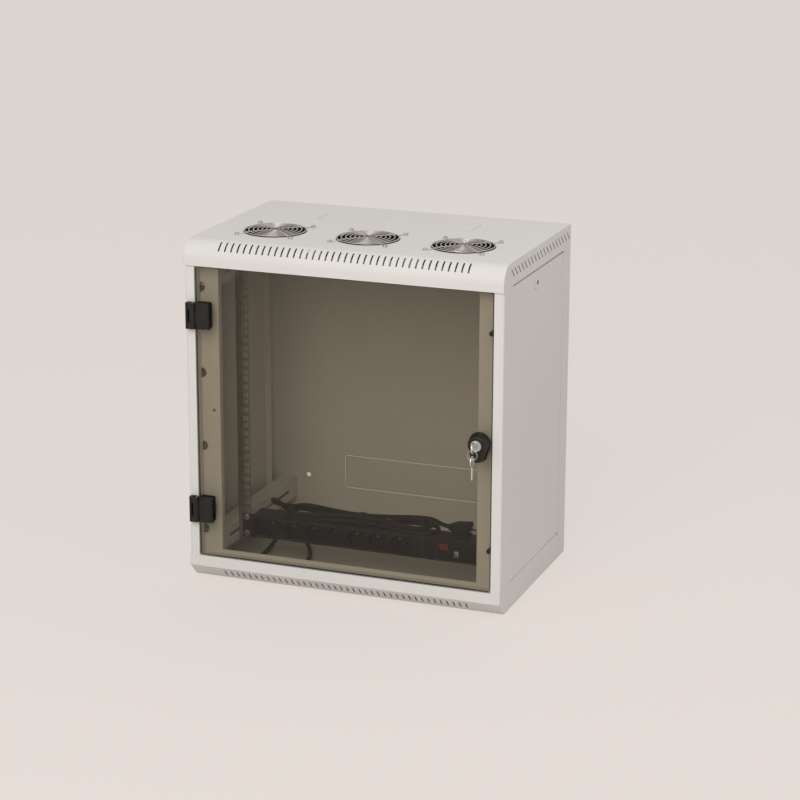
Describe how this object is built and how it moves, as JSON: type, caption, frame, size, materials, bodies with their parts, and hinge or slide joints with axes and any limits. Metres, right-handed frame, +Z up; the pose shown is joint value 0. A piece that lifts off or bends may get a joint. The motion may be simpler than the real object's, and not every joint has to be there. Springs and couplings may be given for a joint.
{
  "type": "wall mount network cabinet",
  "caption": "Light grey sheet steel rack cabinet with tinted glass door, key lock, roof fans, side panels, rack rails and socket strip.",
  "frame": {"origin": "on the underside of the tray, in the middle of its width and of the depth from post face to rear panel", "axes": "+X to the right seen from the front, +Y to the back (towards the wall), +Z up"},
  "size_m": [0.6026, 0.4355, 0.6403],
  "materials": {
    "grey_paint": "fine textured powder coat, light grey",
    "zinc_steel": "zinc plated",
    "side_lock_metal": "light grey cap",
    "black_plastic": "moulded, satin",
    "bright_chrome": "bright plated",
    "smoked_glass": "tinted tempered sheet",
    "key_steel": "nickel plated",
    "black_rubber": "matt",
    "black_coated_metal": "black anodised, satin",
    "red_plastic": "gloss"
  },
  "bodies": {
    "cabinet": {"roof_hood": "grey_paint", "base_tray": "grey_paint", "front_post_left": "grey_paint", "front_post_right": "grey_paint", "rear_panel": "grey_paint", "depth_bracket_left_lower": "grey_paint", "depth_bracket_left_upper": "grey_paint", "depth_bracket_right_lower": "grey_paint", "depth_bracket_right_upper": "grey_paint", "rack_rail_left": "zinc_steel", "rack_rail_right": "zinc_steel", "rail_bolts": "zinc_steel", "fan_frame_left": "black_plastic", "fan_frame_centre": "black_plastic", "fan_frame_right": "black_plastic", "finger_guard_left": "bright_chrome", "finger_guard_centre": "bright_chrome", "finger_guard_right": "bright_chrome", "fan_screws": "zinc_steel", "hinge_post_leaf_lower": "black_plastic", "hinge_post_leaf_upper": "black_plastic", "hinge_pins": "zinc_steel", "door_buffers": "black_rubber", "strip_channel": "black_coated_metal", "strip_sockets": "black_plastic", "earth_pins": "key_steel", "strip_ends": "black_coated_metal", "rack_screws": "zinc_steel", "cage_nuts": "zinc_steel", "cord_gland": "black_rubber", "mains_lead": "black_rubber", "lead_folds": "black_rubber", "mains_plug": "black_plastic"},
    "door": {"door_glass": "smoked_glass", "hinge_glass_leaf_lower": "black_plastic", "hinge_glass_leaf_upper": "black_plastic", "hinge_clamp_lower": "black_plastic", "hinge_clamp_upper": "black_plastic", "clamp_screws": "zinc_steel", "lock_housing": "black_plastic", "lock_barrel": "bright_chrome", "lock_backplate": "zinc_steel"},
    "lock_plug": {"lock_plug": "bright_chrome", "lock_cam": "zinc_steel", "key": "key_steel"},
    "key_hanger": {"key_ring": "key_steel"},
    "spare_key": {"spare_key": "key_steel"},
    "fan_rotor_left": {"fan_rotor_left": "black_plastic"},
    "fan_rotor_centre": {"fan_rotor_centre": "black_plastic"},
    "fan_rotor_right": {"fan_rotor_right": "black_plastic"},
    "side_panel_left": {"side_panel_left": "grey_paint", "side_lock_left": "side_lock_metal"},
    "side_panel_right": {"side_panel_right": "grey_paint", "side_lock_right": "side_lock_metal"},
    "side_lock_cam_left": {"side_lock_cam_left": "zinc_steel"},
    "side_lock_cam_right": {"side_lock_cam_right": "zinc_steel"},
    "strip_rocker": {"strip_rocker": "red_plastic"}
  },
  "joints": [
    {"name": "door_hinge", "type": "hinge", "parent": "cabinet", "child": "door", "pos_m": [-0.284, -0.1995, 0.3175], "axis": [0, 0, -1], "range_deg": [0, 120]},
    {"name": "lock_turn", "type": "hinge", "parent": "door", "child": "lock_plug", "pos_m": [0.259, -0.2145, 0.32], "axis": [0, -1, 0], "range_deg": [0, 90]},
    {"name": "key_hang", "type": "hinge", "parent": "lock_plug", "child": "key_hanger", "pos_m": [0.259, -0.233, 0.313], "axis": [0, -1, 0], "range_deg": [-90, 0]},
    {"name": "spare_key_swing", "type": "hinge", "parent": "key_hanger", "child": "spare_key", "pos_m": [0.259, -0.233, 0.29975], "axis": [1, 0, 0], "range_deg": [-20, 20]},
    {"name": "fan_spin_left", "type": "hinge", "parent": "cabinet", "child": "fan_rotor_left", "pos_m": [-0.18, -0.0625, 0.62], "axis": [0, 0, 1], "continuous": true},
    {"name": "fan_spin_centre", "type": "hinge", "parent": "cabinet", "child": "fan_rotor_centre", "pos_m": [0, -0.0625, 0.62], "axis": [0, 0, 1], "continuous": true},
    {"name": "fan_spin_right", "type": "hinge", "parent": "cabinet", "child": "fan_rotor_right", "pos_m": [0.18, -0.0625, 0.62], "axis": [0, 0, 1], "continuous": true},
    {"name": "side_panel_left_pull", "type": "slide", "parent": "cabinet", "child": "side_panel_left", "axis": [-1, 0, 0], "range_m": [0, 0.08]},
    {"name": "side_panel_right_pull", "type": "slide", "parent": "cabinet", "child": "side_panel_right", "axis": [1, 0, 0], "range_m": [0, 0.08]},
    {"name": "side_lock_left_turn", "type": "hinge", "parent": "side_panel_left", "child": "side_lock_cam_left", "pos_m": [-0.29, -0.0085, 0.569], "axis": [1, 0, 0], "range_deg": [0, 90]},
    {"name": "side_lock_right_turn", "type": "hinge", "parent": "side_panel_right", "child": "side_lock_cam_right", "pos_m": [0.29, -0.0085, 0.569], "axis": [1, 0, 0], "range_deg": [0, 90]},
    {"name": "strip_switch", "type": "hinge", "parent": "cabinet", "child": "strip_rocker", "pos_m": [0.1585, -0.088, 0.08223], "axis": [0, 0, 1], "range_deg": [0, 16]}
  ],
  "couplings": [
    {"joint": "key_hang", "follows": "lock_turn", "ratio": -1}
  ]
}
